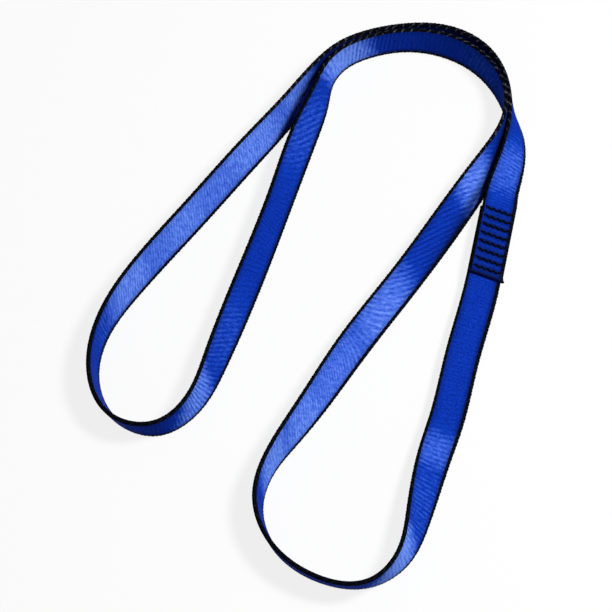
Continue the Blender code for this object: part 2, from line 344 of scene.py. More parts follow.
# the diagonal lines of the weave: run, their lean, metres from line to line and how strong they are
twillLines = [
    (0.036, 0.0, 0.0018, 0.8),
    (0.075, 0.0, 0.0018, 0.8),
    (0.170, 0.0, 0.0022, 0.4),
    (0.230, -0.5, 0.0017, 0.8),
    (0.350, -0.6, 0.0017, 0.8),
    (0.380, 0.2, 0.0020, 0.8),
    (0.430, 0.0, 0.0018, 0.5),
    (0.455, -0.1, 0.0016, 1.5),
    (0.485, -0.8, 0.0026, 1.0),
    (0.515, -0.7, 0.0028, 0.6),
    (0.550, 0.1, 0.0020, 0.4),
    (0.575, -0.4, 0.0026, 0.5),
    (0.608, -1.6, 0.0046, 0.9),
    (0.645, 0.1, 0.0024, 0.8),
    (0.662, 0.2, 0.0020, 2.0),
    (0.685, 0.0, 0.0022, 0.3),
    (0.760, 0.5, 0.0022, 0.6),
    (0.800, 1.8, 0.0044, 1.3),
    (0.828, 2.3, 0.0050, 1.6),
    (0.855, 1.4, 0.0038, 0.9),
    (0.900, -0.8, 0.0018, 0.8),
    (0.935, -0.6, 0.0018, 0.7),
    (0.960, 0.0, 0.0020, 0.5),
    (1.098, -0.1, 0.0020, 1.0),
    (1.130, -0.4, 0.0024, 0.4),
    (1.200, 0.0, 0.0022, 0.3),
]

selvedge = {
    "width": 0.00095,  # black, in from the tip of the upper edge
    # the lower border is black further in, as painted shade along the floor
    "lowerWidth": 0.00200,
    "wander": 0.00014,
    "scallop": 0.55,  # how much of that follows the ribs
    "fineWander": (0.75, 0.0031),  # and the shares and pitches of what doesn't
    "coarseWander": (0.50, 0.0075),
    "shadeBetweenRuns": (0.095, 0.175, 0.020, 0.020),  # wider here, as painted shade where the runs press together
    "shadeBetweenRunsWidth": 0.0007,
    "tipLimit": 0.9,  # its inner line goes at most this share of the rounding out
    "ribHeight": 0.00013,
    "ropeHeight": 0.00006,
    "ropePitch": 0.0040,  # the black edge looks like a cord with a painted glint this often
    "ropeTwist": 1.4,
    "ropePhase": 0.9,
    "ropeWander": (0.8, 0.031),
    "flecked": ((0.092, 0.228, 0.034, 0.034), (0.646, 0.774, 0.032, 0.032)),
    "fleckRest": 0.12,  # how much of the painted glints the other stretches have
}

cutEnd = {
    "rings": (0.0, 0.00010, 0.00026, 0.00048, 0.00072, 0.00100),  # from the end
    "swells": (-0.00030, -0.00004, 0.00012, 0.00014, 0.00006, 0.0),
    "edgeShare": 1.4,  # how much of the swell goes past the edges
    "faceShare": 0.75,
    "lumps": 0.00009,
    "lumpPitch": 0.0021,
    "lumpSlant": 3.0,
    "nub": 0.0008,  # a melted drip on one corner of the upper ply's end
    "nubReach": 0.0013,
    "nubSlant": 0.6,
}


def jointColumns():
    step = weave["jointColumnStep"]
    reach = round((tape["width"] / 2 - tacks["border"]) / step)
    inner = [i * step for i in range(-reach, reach + 1)]
    return (weave["faceColumns"][0], *inner, weave["faceColumns"][-1])


def ringRuns():
    # the run of each ring, and which of its faces is stitched
    joint = tape["jointLength"]
    seal = list(cutEnd["rings"])
    count = round((joint - seal[-1]) / weave["jointRingStep"])
    stitched = np.linspace(seal[-1], joint, count + 1)[1:]
    step = weave["pick"] / weave["ringsPerPick"]
    plainCount = round((tapeLength - 2 * joint) / step)
    plain = np.linspace(joint, tapeLength - joint, plainCount + 1)[1:-1]
    runs = [(run, "plain") for run in seal]
    runs += [(run, "upper") for run in stitched]
    runs += [(run, "plain") for run in plain]
    runs += [(tapeLength - run, "lower") for run in stitched[::-1]]
    runs += [(tapeLength - run, "plain") for run in seal[::-1]]
    return runs


def outlineOf(kind):
    # round the section from the upper tip, over the outer face, and back over the inner one:
    # "edge" or "border", side, out, angle, or "face", v, out, 0
    outerFace = jointColumns() if kind == "upper" else weave["faceColumns"]
    innerFace = jointColumns() if kind == "lower" else weave["faceColumns"]
    angles = weave["edgeAngles"]
    outline = [("edge", 1, 1, angle) for angle in angles]
    outline.append(("border", 1, 1, 0.0))
    outline += [("face", v, 1, 0.0) for v in reversed(outerFace)]
    outline.append(("border", -1, 1, 0.0))
    outline += [("edge", -1, 1, angle) for angle in reversed(angles)]
    outline += [("edge", -1, -1, angle) for angle in angles[1:]]
    outline.append(("border", -1, -1, 0.0))
    outline += [("face", v, -1, 0.0) for v in innerFace]
    outline.append(("border", 1, -1, 0.0))
    outline += [("edge", 1, -1, angle) for angle in reversed(angles[1:])]
    return outline


def borderPlace(runs, side, out):
    # the black border's inner line, which the weave leaves uneven
    phase = 1.3 * side + 2.1 * out
    uneven = selvedge["scallop"] * np.cos(2 * math.pi * runs / weave["pick"] + phase)
    for share, pitch in (selvedge["fineWander"], selvedge["coarseWander"]):
        uneven = uneven + share * wander(runs, pitch, phase)
    # the wider lower border, and the extra width between the runs at the top, are painted shade
    width = selvedge["width"] if side > 0 else selvedge["lowerWidth"]
    if side > 0 and out < 0:
        width = width + selvedge["shadeBetweenRunsWidth"] * within(runs, selvedge["shadeBetweenRuns"])
    return tape["width"] / 2 - width + selvedge["wander"] * uneven


def sectionSpot(runs, part, value, out, angle):
    # which edge a point of the section is nearer to, how far it is turned round that edge, a
    # quarter turn on a face, and its v
    flat = tape["width"] / 2 - tape["roundedEdge"]
    if part == "face":
        side = 1.0 if value >= 0 else -1.0
        return side, np.full(len(runs), math.pi / 2), np.full(len(runs), value)
    side = float(value)
    if part == "edge":
        turn = np.full(len(runs), math.radians(angle))
        return side, turn, side * (flat + tape["roundedEdge"] * np.cos(turn))
    limit = selvedge["tipLimit"]
    inner = (borderPlace(runs, side, out) - flat) / tape["roundedEdge"]
    turn = np.arccos(np.clip(inner, 0.0, limit))
    return side, turn, side * (flat + tape["roundedEdge"] * np.clip(inner, -1.0, limit))


def placeRoundSection(part, value, out, turn):
    # the distance round the section from the upper tip, in metres
    flat = tape["width"] / 2 - tape["roundedEdge"]
    quarter = sectionLength() / 4 - flat
    if part == "face":
        distance = quarter + flat - value
    elif value > 0:
        distance = quarter * turn / (math.pi / 2)
    else:
        distance = 2 * quarter + 2 * flat - quarter * turn / (math.pi / 2)
    return distance if out > 0 else sectionLength() - distance


def sectionLength():
    flat = tape["width"] / 2 - tape["roundedEdge"]
    return 4 * flat + math.pi * (tape["roundedEdge"] + tape["thickness"] / 2)


def fromCutEnd(runs):
    return np.minimum(runs, tapeLength - runs)


def surfaceSwell(runs, turn, side, out):
    # the ribs of the weave on the faces, and the corded look of the edges
    pickTurn = 2 * math.pi * runs / weave["pick"]
    uneven = weave["ribUneven"] * wander(runs, weave["ribUnevenPitch"], out + 1.0)
    body = weave["ribHeight"] * (1.0 + uneven)
    body = body * np.cos(pickTurn + (math.pi if out < 0 else 0.0))
    over = out * (math.pi / 2 - turn)
    edge = selvedge["ribHeight"] * np.cos(pickTurn + over + side)
    rope = 2 * math.pi * runs / selvedge["ropePitch"] + selvedge["ropeTwist"] * over
    share, pitch = selvedge["ropeWander"]
    rope = rope + selvedge["ropePhase"] * side + share * wander(runs, pitch, side)
    cord = selvedge["ropeHeight"] * np.cos(rope)
    edgeShare = np.cos(turn)
    left, fade = weave["jointFlat"]
    plain = left + (1.0 - left) * rise(fromCutEnd(runs), (tape["jointLength"], fade))
    return ((edge + cord) * edgeShare + body * (1.0 - edgeShare)) * plain


def placeOf(runs, v, out):
    # the ribs lean and bow a little out of square, so a ring follows its rib
    lean = readTable(ribLeans, runs)[0]
    lean = lean + weave["leanWander"] * wander(runs, weave["leanPitch"], 0.6 + 0.5 * out)
    bow = weave["bow"] * wander(runs, weave["bowPitch"], 2.0 + out)
    skew = lean * v + bow * (v**2 - weave["bowRest"])
    return runs + skew * rise(fromCutEnd(runs), (tape["jointLength"], weave["leanFade"]))


def placeInJoint(runs, kind):
    # along the joint from its middle
    if kind == "lower":
        runs = runs - (tapeLength - tape["jointLength"])
    return runs - tape["jointLength"] / 2


def isStitched(kind, out):
    return (kind, out) in (("upper", 1), ("lower", -1))


layerNames = ("paintedSheen", "paintedShade", "paintedGlints", "twill", "twillShare")


def ringPoints(runs, kind):
    # the points of all rings of one kind, how far round the section they are, and the layers that
    # the finishes read
    outline = outlineOf(kind)
    half = tape["thickness"] / 2
    points = np.zeros((len(runs), len(outline), 3))
    around = np.zeros((len(runs), len(outline)))
    layers = np.zeros((len(layerNames), len(runs), len(outline)))
    seal = np.interp(fromCutEnd(runs), cutEnd["rings"], cutEnd["swells"])
    for j, (part, value, out, angle) in enumerate(outline):
        side, turn, v = sectionSpot(runs, part, value, out, angle)
        n = out * half * np.sin(turn)
        for middle in weave["squeezes"]:
            near = (runs - middle) / weave["squeezeReach"]
            n = n - weave["squeezeDepth"] * np.exp(-(near**2))
        swell = surfaceSwell(runs, turn, side, out)
        if isStitched(kind, out):
            swell = swell - tackPull(placeInJoint(runs, kind), v)
        lumps = wander(v + runs * cutEnd["lumpSlant"], cutEnd["lumpPitch"], 1.7 * out)
        swell = swell + cutEnd["lumps"] * lumps * (seal != 0.0)
        place = placeOf(runs, v, out)
        if side < 0 and part != "face":
            drip = cutEnd["nub"] * np.exp(-((runs / cutEnd["nubReach"]) ** 2))
            v = v - drip
            place = place - drip * cutEnd["nubSlant"]
        v = v + side * np.cos(turn) * (swell + seal * cutEnd["edgeShare"])
        n = n + out * np.sin(turn) * (swell + seal * cutEnd["faceShare"])
        # painted sheen and painted shade, carried as layers for the finish
        pale = paintedSheen(place, v)
        shade = edgeShade(runs, v, out, pale)
        if isStitched(kind, out):
            shade = np.maximum(shade, sewnShade(runs, v, kind))
        layers[:, :, j] = (pale, shade, paintedGlintShare(place), *twillPhase(place, v))
        points[:, j] = (
            readLaid("place", place)
            + unit(readLaid("across", place)) * v[:, None]
            + unit(readLaid("outer", place)) * n[:, None]
        )
        around[:, j] = placeRoundSection(part, value, out, turn)
    points[:, :, 2] = np.maximum(points[:, :, 2], 0.0)  # pressed flat where it meets the floor
    return points, around, layers


def ringLoops(firstOutline, secondOutline):
    # the faces between two rings, which may have different numbers of points on a face: each is
    # a loop of ring and point, and whether it is black
    swapped = len(firstOutline) > len(secondOutline)
    fewer, more = (secondOutline, firstOutline) if swapped else (firstOutline, secondOutline)
    match = [more.index(point) for point in fewer]
    loops = []
    for j in range(len(fewer)):
        k = (j + 1) % len(fewer)
        span = (match[k] - match[j]) % len(more)
        between = [(match[j] + i) % len(more) for i in range(span + 1)]
        if swapped:
            loop = [(0, b) for b in between] + [(1, k), (1, j)]
        else:
            loop = [(0, j), (0, k)] + [(1, b) for b in reversed(between)]
        loops.append((loop, "edge" in (fewer[j][0], fewer[k][0])))
    return loops


def capLoops(size):
    # the faces over a cut end, from the outer face to the inner one
    half = size // 2
    loops = [[0, 1, size - 1]]
    loops += [[j, j + 1, size - j - 1, size - j] for j in range(1, half - 1)]
    loops.append([half - 1, half, half + 1])
    return loops


def mapSpots(spots):
    # the last face round the section meets the first one, and isn't stretched back over it
    reach = max(around for around, run in spots)
    full = sectionLength()
    return [(around + full if reach - around > full / 2 else around, run) for around, run in spots]


def addPiece(name, points, faces, materials):
    data = bpy.data.meshes.new(name)
    data.from_pydata(points.tolist(), [], faces)
    for material in materials:
        data.materials.append(material)
    piece = bpy.data.objects.new(name, data)
    bpy.context.collection.objects.link(piece)
    return piece


def weaveTape(name, faceMaterial, borderMaterial, sealMaterial):
    rings = ringRuns()
    runs = np.array([run for run, kind in rings])
    outlines = {kind: outlineOf(kind) for kind in ("plain", "upper", "lower")}
    made = [None] * len(rings)
    for kind in outlines:
        chosen = [i for i, ring in enumerate(rings) if ring[1] == kind]
        points, around, layers = ringPoints(runs[chosen], kind)
        for row, i in enumerate(chosen):
            made[i] = (points[row], around[row], layers[:, row])
    places, arounds, layers = zip(*made)
    starts = [0, *np.cumsum([len(ring) for ring in places]).tolist()]
    sealed = cutEnd["rings"][-1] + weave["jointRingStep"] / 2
    walls = []
    # a face's finish is 0 for the blue cloth, 1 for the black border and 2 for a melted end
    for i in range(len(rings) - 1):
        melted = min(runs[i + 1], tapeLength - runs[i]) < sealed
        for loop, black in ringLoops(outlines[rings[i][1]], outlines[rings[i + 1][1]]):
            walls.append(([(i + ring, j) for ring, j in loop], 2 if melted else int(black)))
    last = len(rings) - 1
    caps = [([(0, j) for j in reversed(loop)], 2) for loop in capLoops(len(places[0]))]
    caps += [([(last, j) for j in loop], 2) for loop in capLoops(len(places[last]))]
    faces = [[starts[i] + j for i, j in loop] for loop, finish in walls + caps]
    clothSpots = []
    for loop, finish in walls:
        clothSpots += mapSpots([(arounds[i][j], runs[i]) for i, j in loop])
    for loop, finish in caps:
        clothSpots += [(arounds[i][j], runs[i]) for i, j in loop]
    materials = (faceMaterial, borderMaterial, sealMaterial)
    piece = addPiece(name, np.concatenate(places), faces, materials)
    piece.data.polygons.foreach_set("material_index", [finish for loop, finish in walls + caps])
    clothMap = piece.data.uv_layers.new(name="clothMap")
    clothMap.data.foreach_set("uv", np.array(clothSpots, dtype=np.float32).ravel())
    for layerName, values in zip(layerNames, np.concatenate(layers, axis=1)):
        layer = piece.data.attributes.new(layerName, "FLOAT", "POINT")
        layer.data.foreach_set("value", values.astype(np.float32))
    piece.data.shade_smooth()
    piece.data.update()
    return piece


# Painted sheen, painted glints and painted shade along the webbing, and its twill lines

# painted sheen: how each pale stretch fades, and where it tilts
paintedSheenShape = {
    "core": 0.25,  # how much of half the length is at full strength
    "fade": 1.5,  # and the fade, in half lengths
    "ragged": 0.0016,
    "raggedPitch": 0.009,
    "raggedPhase": 400,
    "tilted": (0.860, 0.950, 0.030, 0.030),  # paler at the lower edge in this stretch
    "tilt": 28.0,
}

# painted sheen: the run of the middle, half the length, how pale, the slant
paintedSheenStretches = [
    (0.0576, 0.013, 0.38, 0.2),
    (0.2240, 0.012, 0.95, 0.0),
    (0.2560, 0.022, 1.10, -0.3),
    (0.3000, 0.060, 0.75, 0.3),
    (0.3080, 0.016, 1.00, 0.2),
    (0.3470, 0.016, 1.10, 0.3),
    (0.4600, 0.010, 1.00, -0.4),
    (0.4930, 0.020, 0.20, -0.3),
    (0.6050, 0.024, 0.22, 0.3),
    (0.6490, 0.012, 1.60, 0.3),
    (0.7200, 0.016, 0.20, 0.0),
    (0.7880, 0.011, 0.85, 0.4),
    (0.8660, 0.018, 0.82, 0.3),
    (0.9100, 0.034, 0.68, 0.4),
    (0.9300, 0.014, 1.05, 0.4),
    (0.9540, 0.011, 1.35, 0.3),
    (1.0560, 0.011, 1.65, -0.5),
    (1.0860, 0.020, 0.20, 0.0),
    (1.1120, 0.009, 0.40, 0.2),
]

shades = {
    "lowerEdge": (0.0036, 0.0030),  # starts this far from the middle, full this much further out
    "upperEdge": (0.0048, 0.0020),
    "upperStrength": 0.45,
    "hiddenByPale": 0.5,
    "shadeBetweenRuns": (0.100, 0.203, 0.030, 0.014),  # painted shade on the strip between the two runs at the top
    "shadeBetweenRunsFrom": (0.0015, 0.0030),
    "shadeBetweenRunsStrength": 0.85,
    "crossingReach": 0.0050,  # across the webbing, until it is full
    "crossingEnd": 0.0020,  # and then until it has faded
    "joint": 0.30,
    "jointEnds": (-0.0025, 0.0035),  # from the end of the joint
    "row": 1.0,  # along each tack
    "rowReach": 0.0011,
    "rowEnds": (0.0056, 0.0012),
    "seal": 0.8,  # the melted end of the upper ply
    "sealEnds": (0.0013, 0.0018),
}

# run, and how strong the lower edge's shade is
lowerShade = [
    (0.330, 0.75),
    (0.360, 1.40),
    (0.420, 1.40),
    (0.450, 0.75),
    (0.770, 0.75),
    (0.785, 1.55),
    (0.810, 1.55),
    (0.840, 0.75),
]

# painted shadow on the inner face where it comes out from under the other run: run, the v at which
# the shade starts, and how strong it is
crossings = [
    (0.190, 0.0088, 0.0),
    (0.200, 0.0088, 0.9),
    (0.208, 0.0080, 0.9),
    (0.216, 0.0063, 0.9),
    (0.224, 0.0046, 0.9),
    (0.232, 0.0016, 0.9),
    (0.240, -0.0010, 0.8),
    (0.248, -0.0030, 0.6),
    (0.258, -0.0045, 0.0),
    (0.735, 0.0090, 0.0),
    (0.748, 0.0090, 0.9),
    (0.760, 0.0080, 0.9),
    (0.768, 0.0054, 0.9),
    (0.776, 0.0030, 0.9),
    (0.784, 0.0012, 0.9),
    (0.792, 0.0006, 0.95),
    (0.800, 0.0006, 0.85),
    (0.808, 0.0004, 0.65),
    (0.824, 0.0000, 0.40),
    (0.850, 0.0000, 0.0),
]


def paintedSheen(runs, v):
    # painted sheen: stretches of the webbing drawn paler, standing in for the highlights along its
    # fibres
    most = np.zeros(len(runs))
    for middle, reach, strength, slant in paintedSheenStretches:
        phase = middle * paintedSheenShape["raggedPhase"]
        ragged = paintedSheenShape["ragged"] * wander(v + runs, paintedSheenShape["raggedPitch"], phase)
        far = np.abs(runs + slant * v + ragged - middle) / reach
        most = np.maximum(most, strength * (1.0 - rise(far, (paintedSheenShape["core"], paintedSheenShape["fade"]))))
    return most * (1.0 - paintedSheenShape["tilt"] * v * within(runs, paintedSheenShape["tilted"]))


def twillPhase(runs, v):
    # the number of diagonal lines up to a place, and how strong they are there
    spots = np.linspace(0.0, tapeLength, weave["twillSamples"])
    lines = np.cumsum(1.0 / readTable(twillLines, spots)[1]) * (spots[1] - spots[0])
    leans, pitches, strengths = readTable(twillLines, runs)
    return np.interp(runs, spots, lines) - v * leans / pitches, strengths


def paintedGlintShare(runs):
    # painted glints on the black edges, most of them where the runs press together at the top
    share = np.full(len(runs), selvedge["fleckRest"])
    for stretch in selvedge["flecked"]:
        share = np.maximum(share, within(runs, stretch))
    return share


def edgeShade(runs, v, out, pale):
    # painted shade along both edges, and painted shadow on the inner face beside the other run
    shade = readTable(lowerShade, runs)[0] * rise(-v, shades["lowerEdge"])
    shade = np.minimum(shade, 1.0) + shades["upperStrength"] * rise(v, shades["upperEdge"])
    shade = shade * (1.0 - shades["hiddenByPale"] * np.clip(pale, 0.0, 1.0))
    if out > 0:
        return shade
    shadeBetweenRuns = shades["shadeBetweenRunsStrength"] * within(runs, shades["shadeBetweenRuns"])
    shade = np.maximum(shade, shadeBetweenRuns * rise(v, shades["shadeBetweenRunsFrom"]))
    starts, strengths = readTable(crossings, runs)
    across = starts - v
    reach = shades["crossingReach"]
    band = rise(across, (0.0, reach)) * (1.0 - rise(across, (reach, shades["crossingEnd"])))
    return np.maximum(shade, strengths * band)


def sewnShade(runs, v, kind):
    # the stitched face looks darker, most of all along each tack and at the upper ply's end
    u = placeInJoint(runs, kind)
    rows = np.min([np.abs(u - tackU) for tackU in tackPlaces()], axis=0)
    near = np.exp(-((rows / shades["rowReach"]) ** 2))
    near = near * (1.0 - rise(np.abs(v), shades["rowEnds"]))
    inJoint = 1.0 - rise(np.abs(u) - tape["jointLength"] / 2, shades["jointEnds"])
    sewn = inJoint * (shades["joint"] + (shades["row"] - shades["joint"]) * near)
    if kind == "upper":
        sewn = np.maximum(sewn, shades["seal"] * (1.0 - rise(runs, shades["sealEnds"])))
    return sewn


# Threads of the bar tacks

threads = {
    "radius": 0.00042,
    "proud": 0.75,  # a stitch's middle lies this share of its radius off the sunk webbing
    "legSpread": 0.00030,  # a thread's two legs in a needle hole, each side of its middle
    "legBend": 0.8,  # how far apart they still are half way down
    "dip": 0.00016,  # at the mouth of a needle hole
    "needleCrown": 0.00006,  # the swell from one hole to the next
    "bobbinCrown": -0.00004,
    "tail": 0.0009,
    "endShare": 0.55,  # of the radius, at a cut end
    "endTaper": 0.0003,
    "lobes": 3,  # strands twisted into the thread
    "lobeDepth": 0.10,
    "lay": 0.0017,
    "step": 0.00012,
    "sides": 12,
    "spanSamples": 12,
}


def smoothLine(points, step):
    # a rounded line through the points, at even distances
    points = np.array(points)
    padded = np.vstack((2 * points[0] - points[1], points, 2 * points[-1] - points[-2]))
    t = np.linspace(0.0, 1.0, threads["spanSamples"], endpoint=False)[:, None]
    line = []
    for i in range(1, len(padded) - 2):
        a, b, c, d = padded[i - 1:i + 3]
        curve = 2 * b + (c - a) * t + (2 * a - 5 * b + 4 * c - d) * t**2
        line.append(0.5 * (curve + (3 * b - a - 3 * c + d) * t**3))
    line = np.vstack((*line, points[-1]))
    run = runAlong(line)
    even = np.linspace(0.0, run[-1], max(2, round(run[-1] / step) + 1))
    return np.stack([np.interp(even, run, line[:, axis]) for axis in range(3)], axis=1)


def lockstitch(tackU, rest, lock, legs, crown, shift):
    # over the face from hole to hole, and in each hole to the lock and back
    holes = needleHoles(tackU)
    mouth = rest + math.copysign(threads["dip"], lock - rest)
    reach = threads["legSpread"] + threads["tail"]
    points = [(holes[0][0], holes[0][1] - reach, rest)]
    for i, (u, v) in enumerate(holes):
        bend = threads["legBend"]
        for spread, height in ((-1, mouth), (-bend, (rest + lock) / 2), (0, lock),
                               (bend, (rest + lock) / 2), (1, mouth)):
            points.append((u + spread * legs[0], v + spread * legs[1], height))
        if i + 1 < len(holes):
            nextU, nextV = holes[i + 1]
            points.append(((u + nextU) / 2 + shift, (v + nextV) / 2, rest + crown))
    points.append((holes[-1][0], holes[-1][1] + reach, rest))
    return points


def needleStitch(tackU):
    # on the outer face, its loops reaching down to the lock between the plies
    top = tape["thickness"] * 1.5 + tape["plyGap"]
    rest = top - tacks["sink"] + threads["radius"] * threads["proud"]
    lock = (tape["thickness"] + tape["plyGap"]) / 2 - threads["radius"]
    return lockstitch(tackU, rest, lock, (0.0, threads["legSpread"]), threads["needleCrown"], 0.0)


def bobbinStitch(tackU):
    # the same under the inner face, its loops caught by the needle thread's
    leg = threads["legSpread"]
    rest = -tape["thickness"] / 2 + tacks["sink"] - threads["radius"] * threads["proud"]
    lock = (tape["thickness"] + tape["plyGap"]) / 2 + threads["radius"]
    return lockstitch(tackU, rest, lock, (leg, 0.0), threads["bobbinCrown"], leg / 2)


def spinThread(name, points, material):
    # a twisted thread along the stitches, in the joint's own directions
    line = smoothLine(points, threads["step"])
    along, across, outer = laid["along"][0], laid["across"][0], laid["outer"][0]
    line = laid["jointMiddle"] + line @ np.stack((along, across, outer))
    heading = unit(np.gradient(line, axis=0))
    normal = np.cross(heading[0], outer)
    normals = [normal / np.linalg.norm(normal)]
    for ahead in heading[1:]:  # carried along without turning
        normal = normals[-1] - ahead * (normals[-1] @ ahead)
        normals.append(normal / np.linalg.norm(normal))
    normals = np.array(normals)
    sides = np.cross(heading, normals)
    count, ringSize = len(line), threads["sides"]
    run = np.arange(count) * threads["step"]
    turn = np.arange(ringSize) * (2 * math.pi / ringSize)
    twist = 2 * math.pi * run / threads["lay"]
    lobes = np.cos(threads["lobes"] * (turn[None, :] - twist[:, None]))
    radius = threads["radius"] * (1.0 - threads["lobeDepth"] * (1.0 - lobes))
    fromEnd = np.minimum(run, run[-1] - run)
    taper = (1.0 - threads["endShare"]) * ease(fromEnd / threads["endTaper"])
    radius *= (threads["endShare"] + taper)[:, None]
    surface = (
        line[:, None]
        + normals[:, None] * (radius * np.cos(turn))[:, :, None]
        + sides[:, None] * (radius * np.sin(turn))[:, :, None]
    )
    faces = []
    for i in range(count - 1):
        a, b = i * ringSize, (i + 1) * ringSize
        for j in range(ringSize):
            k = (j + 1) % ringSize
            faces.append((a + j, a + k, b + k, b + j))
    faces.append(tuple(reversed(range(ringSize))))
    faces.append(tuple(range((count - 1) * ringSize, count * ringSize)))
    piece = addPiece(name, surface.reshape(-1, 3), faces, (material,))
    piece.data.shade_smooth()
    piece.data.update()
    return piece


# Finishes

class NodeBoard:
    # a short way to lay out a material's nodes

    def __init__(self, name):
        self.material = bpy.data.materials.new(name)
        self.material.use_nodes = True
        self.nodes = self.material.node_tree.nodes
        self.links = self.material.node_tree.links
        self.shader = self.nodes["Principled BSDF"]

    def add(self, kind, settings=None, **inputs):
        node = self.nodes.new(kind)
        for key, value in (settings or {}).items():
            setattr(node, key, value)
        for key, value in inputs.items():
            self.feed(node.inputs[key.replace("_", " ")], value)
        return node

    def feed(self, socket, value):
        if isinstance(value, bpy.types.NodeSocket):
            self.links.new(value, socket)
        else:
            socket.default_value = value

    def calc(self, operation, *values):
        node = self.nodes.new("ShaderNodeMath")
        node.operation = operation
        for socket, value in zip(node.inputs, values):
            self.feed(socket, value)
        return node.outputs[0]

    def ramp(self, value, low, high, lowTo=0.0, highTo=1.0):
        node = self.nodes.new("ShaderNodeMapRange")
        for socket, number in zip(node.inputs, (value, low, high, lowTo, highTo)):
            self.feed(socket, number)
        return node.outputs[0]

    def wave(self, turns):
        return self.calc("SINE", self.calc("MULTIPLY", turns, 2 * math.pi))

    def weighted(self, *pairs):
        total = None
        for value, weight in pairs:
            share = self.calc("MULTIPLY", value, weight)
            total = share if total is None else self.calc("ADD", total, share)
        return total

    def blend(self, share, first, second):
        node = self.nodes.new("ShaderNodeMix")
        node.data_type = "RGBA"
        self.feed(node.inputs["Factor"], share)
        self.feed(node.inputs["A"], first)
        self.feed(node.inputs["B"], second)
        return node.outputs["Result"]

    def noise(self, vector, scale, detail):
        node = self.add("ShaderNodeTexNoise", Vector=vector, Scale=scale, Detail=detail)
        return node.outputs["Fac"]

    def layer(self, name):
        return self.add("ShaderNodeAttribute", {"attribute_name": name}).outputs["Fac"]

    def finish(self, look, colour, roughNoise, height):
        rough = self.ramp(roughNoise, *noiseSpan, *look["roughness"])
        depth, strength = look["bump"]
        bump = self.add("ShaderNodeBump", Height=height, Distance=depth, Strength=strength)
        self.feed(self.shader.inputs["Base Color"], colour)
        self.feed(self.shader.inputs["Roughness"], rough)
        self.feed(self.shader.inputs["Normal"], bump.outputs[0])
        self.shader.inputs["Specular IOR Level"].default_value = look["shine"]
        return self.material


noiseSpan = (0.3, 0.7)  # nearly all of a noise lies between these

cloth = {
    "deepBlue": (0.0022, 0.0180, 0.240, 1.0),
    "blue": (0.0034, 0.0300, 0.360, 1.0),
    "brightBlue": (0.0060, 0.0440, 0.460, 1.0),
    # painted sheen colours, from faint to full
    "litBlue": (0.0065, 0.0600, 0.540, 1.0),
    "paleBlue": (0.100, 0.208, 0.800, 1.0),
    "sheenBlue": (0.170, 0.320, 0.950, 1.0),
    # the colour of the painted shade
    "shadedBlue": (0.0020, 0.0060, 0.045, 1.0),
    "yarn": 0.00046,  # the width of one warp yarn
    "underYarn": 0.45,  # how high a yarn still is where it goes under
    "grain": (1100.0, 2.0),  # scale and detail
    "patches": (140.0, 3.0),
    "mottle": (640.0, 3.0),
    "mottleStretch": (0.6, 1.0, 1.0),
    "breaks": (260.0, 2.0),  # these break up the diagonal lines
    "brokenLines": (0.38, 0.60, 0.15, 1.0),  # from low to high, to low to high
    "toneOfHeight": 0.30,
    "toneOfYarn": 0.10,
    "toneOfGrain": 1.60,
    "toneOfPatches": 0.30,
    "toneOfRibs": 0.06,
    "toneOfLines": 0.30,
    "blueTone": (0.72, 1.20),
    "brightTone": (1.12, 1.55),
    # ranges for the painted sheen: how mottle, lines and tone break it up, and how much reaches
    # each sheen colour
    "mottlePale": (0.35, 0.65, 0.64, 1.32),
    "linePale": (-1.0, 1.0, 0.72, 1.28),
    "tonePale": (0.80, 1.50, 0.68, 1.34),
    "litPale": (0.0, 0.50),
    "palePale": (0.15, 1.05),
    "sheenPale": (1.00, 1.75),
    "roughness": (0.41, 0.49),
    "bump": (0.00005, 0.6),  # depth and strength
    "anisotropy": 0.90,
    "shine": 0.004,
    "shineTint": (0.30, 0.60, 1.0, 1.0),
}


def wovenPattern(board):
    # yarns side by side across the webbing, each over one rib and under the next
    spot = board.add("ShaderNodeUVMap", {"uv_map": "clothMap"}).outputs[0]
    parts = board.add("ShaderNodeSeparateXYZ", Vector=spot)
    around, run = parts.outputs[0], parts.outputs[1]
    column = board.calc("DIVIDE", around, cloth["yarn"])
    yarn = board.calc("FLOOR", column)
    crown = board.calc("SINE", board.calc("MULTIPLY", board.calc("FRACT", column), math.pi))
    pair = board.calc("DIVIDE", run, weave["pick"] * 2)
    pair = board.calc("ADD", pair, board.calc("MULTIPLY", yarn, 0.5))
    over = board.ramp(board.wave(pair), -1.0, 1.0)
    return {"spot": spot, "around": around, "run": run, "crown": crown, "over": over,
            "yarn": yarn, "pair": pair}


